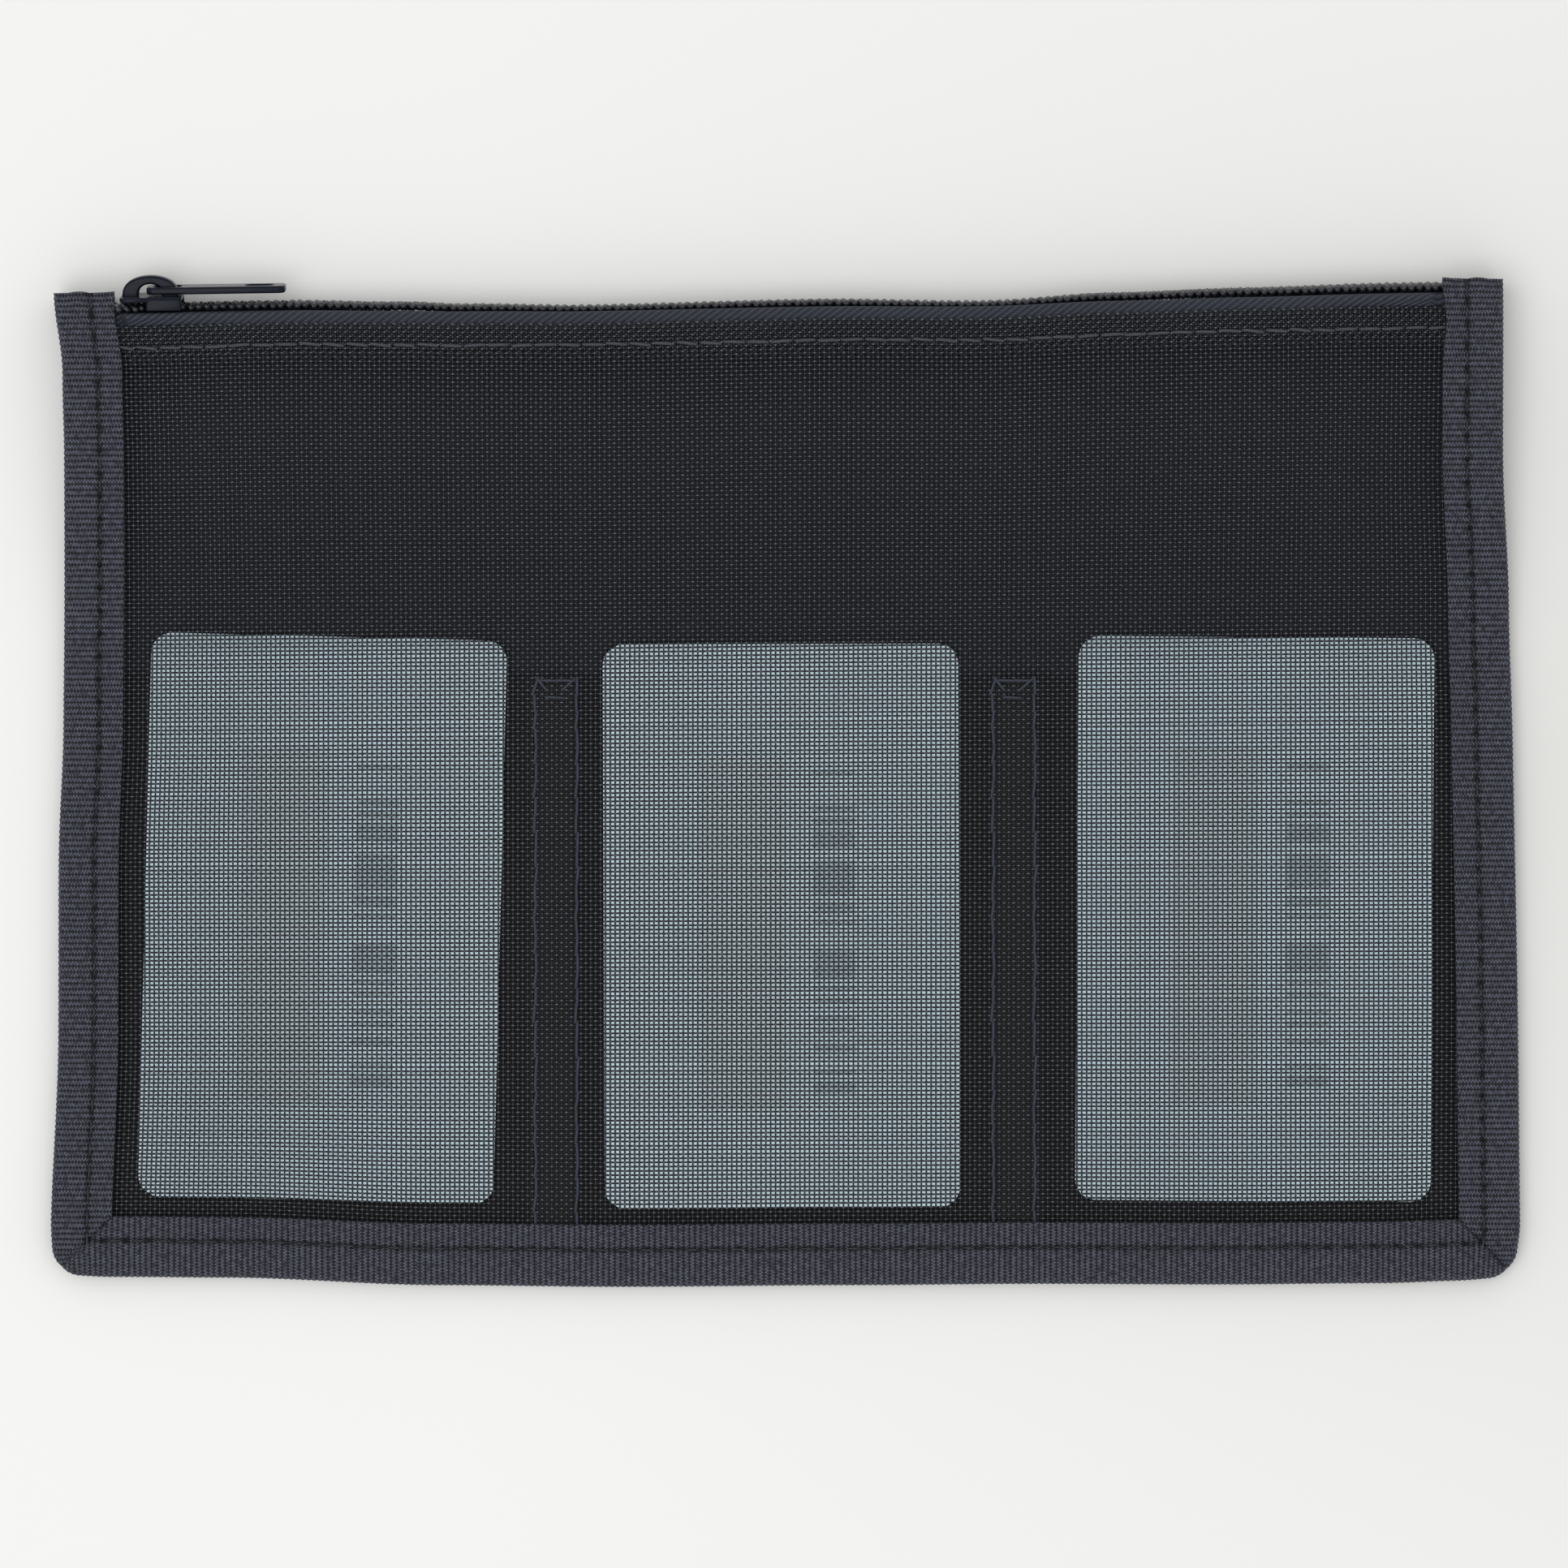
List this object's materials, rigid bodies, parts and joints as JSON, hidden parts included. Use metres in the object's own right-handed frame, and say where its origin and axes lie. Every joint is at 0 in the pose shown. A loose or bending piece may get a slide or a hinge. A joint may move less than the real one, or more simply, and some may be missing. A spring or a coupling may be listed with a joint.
{
  "type": "pencil pouch",
  "caption": "Flat zipped pouch with a see-through mesh front, card pockets with removable cards, bound edges, and a coil zip with a slider and a pull.",
  "frame": {"origin": "middle of the back's flat resting face", "axes": "+X to the right along the zip, +Y from the bottom seam to the zip, +Z out of the front"},
  "size_m": [0.2235, 0.1533, 0.0094],
  "materials": {
    "front_mesh": "open plain weave of dark navy nylon yarn",
    "pocket_cloth": "dense black nylon",
    "back_cloth": "dense black nylon",
    "binding_tape": "ribbed grosgrain tape",
    "zip_tape": "fine twill",
    "zip_coil": "nylon monofilament",
    "slider_paint": "satin dark navy paint",
    "card_plastic": "satin plastic"
  },
  "bodies": {
    "pouch": {"front_panel": "front_mesh", "pocket_panel": "pocket_cloth", "back_panel": "back_cloth", "edge_binding": "binding_tape", "zip_tape_front": "zip_tape", "zip_tape_back": "zip_tape", "zip_teeth_front": "zip_coil", "zip_teeth_back": "zip_coil"},
    "slider": {"slider_body": "slider_paint"},
    "pull": {"pull_tab": "slider_paint"},
    "left_card": {"card_left": "card_plastic"},
    "middle_card": {"card_middle": "card_plastic"},
    "right_card": {"card_right": "card_plastic"}
  },
  "joints": [
    {"name": "slider_travel", "type": "slide", "parent": "pouch", "child": "slider", "axis": [0.9999, 0.015, 0], "range_m": [0, 0.19], "deforming": ["zip_teeth_front", "zip_teeth_back"]},
    {"name": "pull_swing", "type": "hinge", "parent": "slider", "child": "pull", "pos_m": [-0.09593, 0.07496, 0.00533], "axis": [0.0026, -0.1736, 0.9848], "range_deg": [0, 160]},
    {"name": "left_card_slide", "type": "slide", "parent": "pouch", "child": "left_card", "axis": [0, 1, 0], "range_m": [0, 0.037]},
    {"name": "middle_card_slide", "type": "slide", "parent": "pouch", "child": "middle_card", "axis": [0, 1, 0], "range_m": [0, 0.037]},
    {"name": "right_card_slide", "type": "slide", "parent": "pouch", "child": "right_card", "axis": [0, 1, 0], "range_m": [0, 0.037]}
  ]
}
